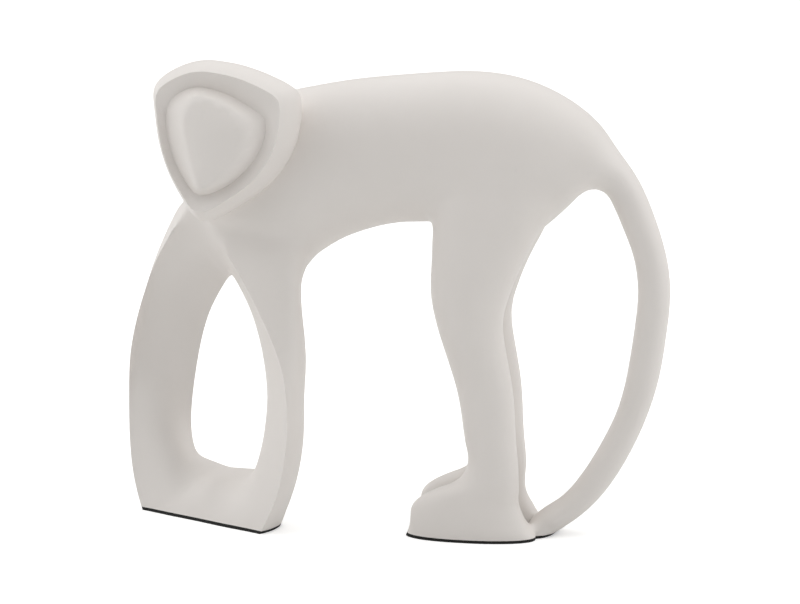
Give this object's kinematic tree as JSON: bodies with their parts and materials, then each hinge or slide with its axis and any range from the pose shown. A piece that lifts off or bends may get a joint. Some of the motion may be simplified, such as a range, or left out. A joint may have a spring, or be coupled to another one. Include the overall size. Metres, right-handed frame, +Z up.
{
  "type": "monkey figurine",
  "caption": "Standing monkey figurine in cast resin: arched arms joined by a bar at the hands, stepped mask-like face, long tail that curves down to the heels, and thin black pads beneath.",
  "frame": {"origin": "on the surface that the pads stand on, below the middle of the bounding box", "axes": "+X along the trunk from the arms to the tail, +Z up; the face looks towards -Y"},
  "size_m": [0.2686, 0.0718, 0.2285],
  "materials": {
    "cast_resin": "satin",
    "pad_foam": "matte"
  },
  "bodies": {
    "root": {"cast_figure": "cast_resin", "front_pad": "pad_foam", "rear_pad": "pad_foam"}
  },
  "joints": []
}
